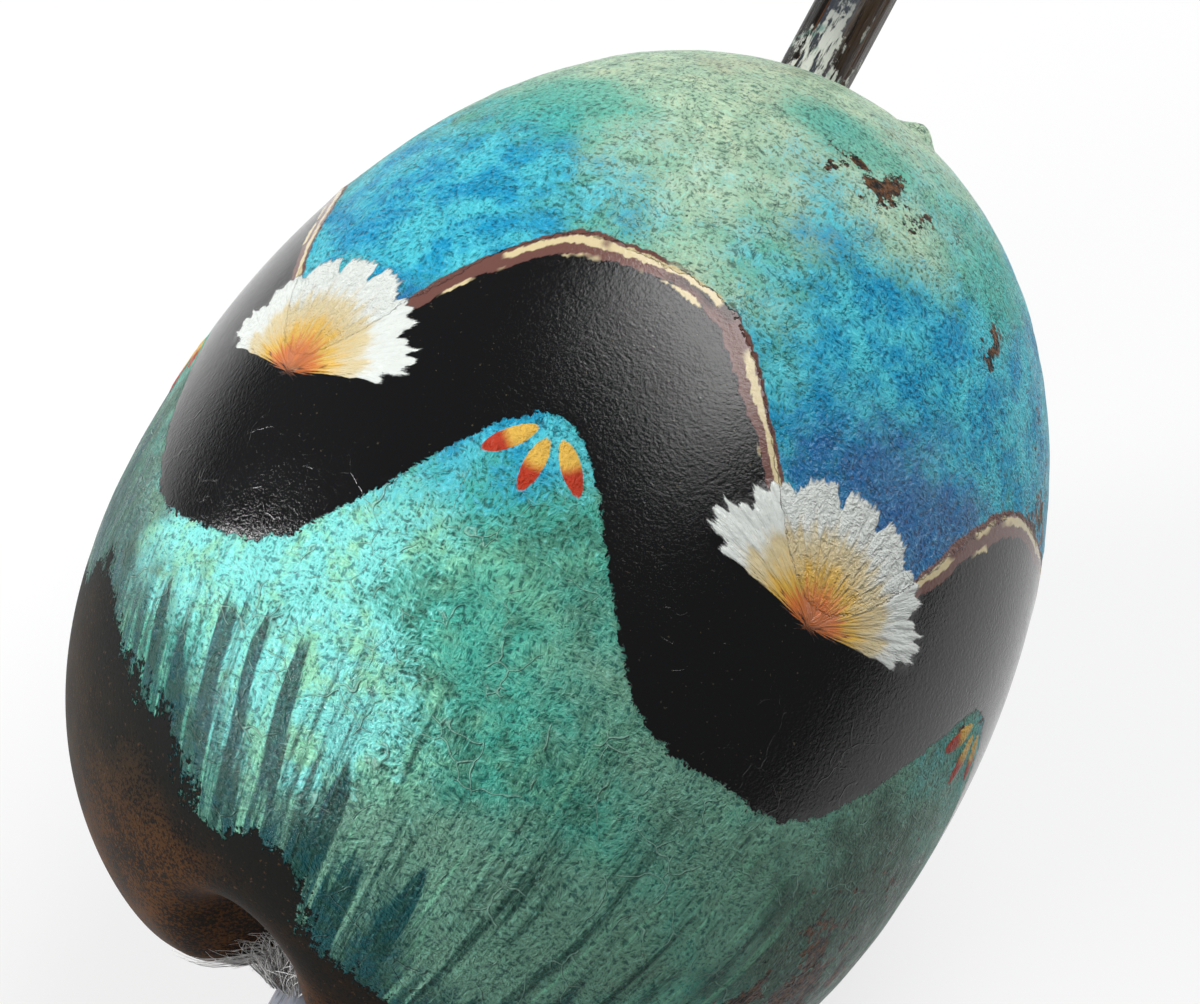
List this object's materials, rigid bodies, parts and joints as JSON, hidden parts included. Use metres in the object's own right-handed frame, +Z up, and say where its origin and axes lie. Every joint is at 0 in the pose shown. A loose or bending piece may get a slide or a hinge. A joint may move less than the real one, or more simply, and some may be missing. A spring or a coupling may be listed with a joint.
{
  "type": "gourd rattle",
  "caption": "Hand rattle of a hollow painted gourd on a straight octagonal stick, with fur wound round the stick at the base and loose pebbles inside that sound when it is shaken.",
  "frame": {"origin": "on the surface that the rattle lies on, under the middle of its bounding box", "axes": "+X from the handle to the crown in plan, +Z up; the stick rises 18.3 degrees towards +X, +Y is left of the handle as seen from above with the crown ahead"},
  "size_m": [0.2984, 0.1268, 0.132],
  "materials": {
    "painted_gourd": "varnished brushed paint in blues and greens over dried gourd rind, bare burnished brown at the base",
    "stained_stick": "whittled hardwood with a near-black stain, worn brown along the edges",
    "glue": "dried clear glue",
    "hide": "raw tanned hide",
    "fur": "soft grey and white fur",
    "pebble": "water-worn"
  },
  "bodies": {
    "rattle": {"gourd_shell": "painted_gourd", "handle_stick": "stained_stick", "crown_glue_bead": "glue", "fur_hide_strip": "hide", "fur_collar": "fur"},
    "pebble_01": {"pebble_01": "pebble"},
    "pebble_02": {"pebble_02": "pebble"},
    "pebble_03": {"pebble_03": "pebble"},
    "pebble_04": {"pebble_04": "pebble"},
    "pebble_05": {"pebble_05": "pebble"},
    "pebble_06": {"pebble_06": "pebble"},
    "pebble_07": {"pebble_07": "pebble"},
    "pebble_08": {"pebble_08": "pebble"},
    "pebble_09": {"pebble_09": "pebble"},
    "pebble_10": {"pebble_10": "pebble"},
    "pebble_11": {"pebble_11": "pebble"},
    "pebble_12": {"pebble_12": "pebble"},
    "pebble_13": {"pebble_13": "pebble"},
    "pebble_14": {"pebble_14": "pebble"},
    "pebble_15": {"pebble_15": "pebble"},
    "pebble_16": {"pebble_16": "pebble"},
    "pebble_17": {"pebble_17": "pebble"},
    "pebble_18": {"pebble_18": "pebble"},
    "pebble_19": {"pebble_19": "pebble"},
    "pebble_20": {"pebble_20": "pebble"},
    "pebble_21": {"pebble_21": "pebble"},
    "pebble_22": {"pebble_22": "pebble"},
    "pebble_23": {"pebble_23": "pebble"},
    "pebble_24": {"pebble_24": "pebble"}
  },
  "joints": [
    {"name": "pebble_01_rise", "type": "slide", "parent": "rattle", "child": "pebble_01", "axis": [0, 0, 1], "range_m": [0, 0.0485]},
    {"name": "pebble_02_rise", "type": "slide", "parent": "rattle", "child": "pebble_02", "axis": [0, 0, 1], "range_m": [0, 0.0495]},
    {"name": "pebble_03_rise", "type": "slide", "parent": "rattle", "child": "pebble_03", "axis": [0, 0, 1], "range_m": [0, 0.0485]},
    {"name": "pebble_04_rise", "type": "slide", "parent": "rattle", "child": "pebble_04", "axis": [0, 0, 1], "range_m": [0, 0.1155]},
    {"name": "pebble_05_rise", "type": "slide", "parent": "rattle", "child": "pebble_05", "axis": [0, 0, 1], "range_m": [0, 0.042]},
    {"name": "pebble_06_rise", "type": "slide", "parent": "rattle", "child": "pebble_06", "axis": [0, 0, 1], "range_m": [0, 0.0495]},
    {"name": "pebble_07_rise", "type": "slide", "parent": "rattle", "child": "pebble_07", "axis": [0, 0, 1], "range_m": [0, 0.112]},
    {"name": "pebble_08_rise", "type": "slide", "parent": "rattle", "child": "pebble_08", "axis": [0, 0, 1], "range_m": [0, 0.1085]},
    {"name": "pebble_09_rise", "type": "slide", "parent": "rattle", "child": "pebble_09", "axis": [0, 0, 1], "range_m": [0, 0.054]},
    {"name": "pebble_10_rise", "type": "slide", "parent": "rattle", "child": "pebble_10", "axis": [0, 0, 1], "range_m": [0, 0.1085]},
    {"name": "pebble_11_rise", "type": "slide", "parent": "rattle", "child": "pebble_11", "axis": [0, 0, 1], "range_m": [0, 0.111]},
    {"name": "pebble_12_rise", "type": "slide", "parent": "rattle", "child": "pebble_12", "axis": [0, 0, 1], "range_m": [0, 0.1125]},
    {"name": "pebble_13_rise", "type": "slide", "parent": "rattle", "child": "pebble_13", "axis": [0, 0, 1], "range_m": [0, 0.0415]},
    {"name": "pebble_14_rise", "type": "slide", "parent": "rattle", "child": "pebble_14", "axis": [0, 0, 1], "range_m": [0, 0.0505]},
    {"name": "pebble_15_rise", "type": "slide", "parent": "rattle", "child": "pebble_15", "axis": [0, 0, 1], "range_m": [0, 0.107]},
    {"name": "pebble_16_rise", "type": "slide", "parent": "rattle", "child": "pebble_16", "axis": [0, 0, 1], "range_m": [0, 0.1055]},
    {"name": "pebble_17_rise", "type": "slide", "parent": "rattle", "child": "pebble_17", "axis": [0, 0, 1], "range_m": [0, 0.114]},
    {"name": "pebble_18_rise", "type": "slide", "parent": "rattle", "child": "pebble_18", "axis": [0, 0, 1], "range_m": [0, 0.0375]},
    {"name": "pebble_19_rise", "type": "slide", "parent": "rattle", "child": "pebble_19", "axis": [0, 0, 1], "range_m": [0, 0.1105]},
    {"name": "pebble_20_rise", "type": "slide", "parent": "rattle", "child": "pebble_20", "axis": [0, 0, 1], "range_m": [0, 0.107]},
    {"name": "pebble_21_rise", "type": "slide", "parent": "rattle", "child": "pebble_21", "axis": [0, 0, 1], "range_m": [0, 0.101]},
    {"name": "pebble_22_rise", "type": "slide", "parent": "rattle", "child": "pebble_22", "axis": [0, 0, 1], "range_m": [0, 0.0525]},
    {"name": "pebble_23_rise", "type": "slide", "parent": "rattle", "child": "pebble_23", "axis": [0, 0, 1], "range_m": [0, 0.1025]},
    {"name": "pebble_24_rise", "type": "slide", "parent": "rattle", "child": "pebble_24", "axis": [0, 0, 1], "range_m": [0, 0.1035]}
  ]
}
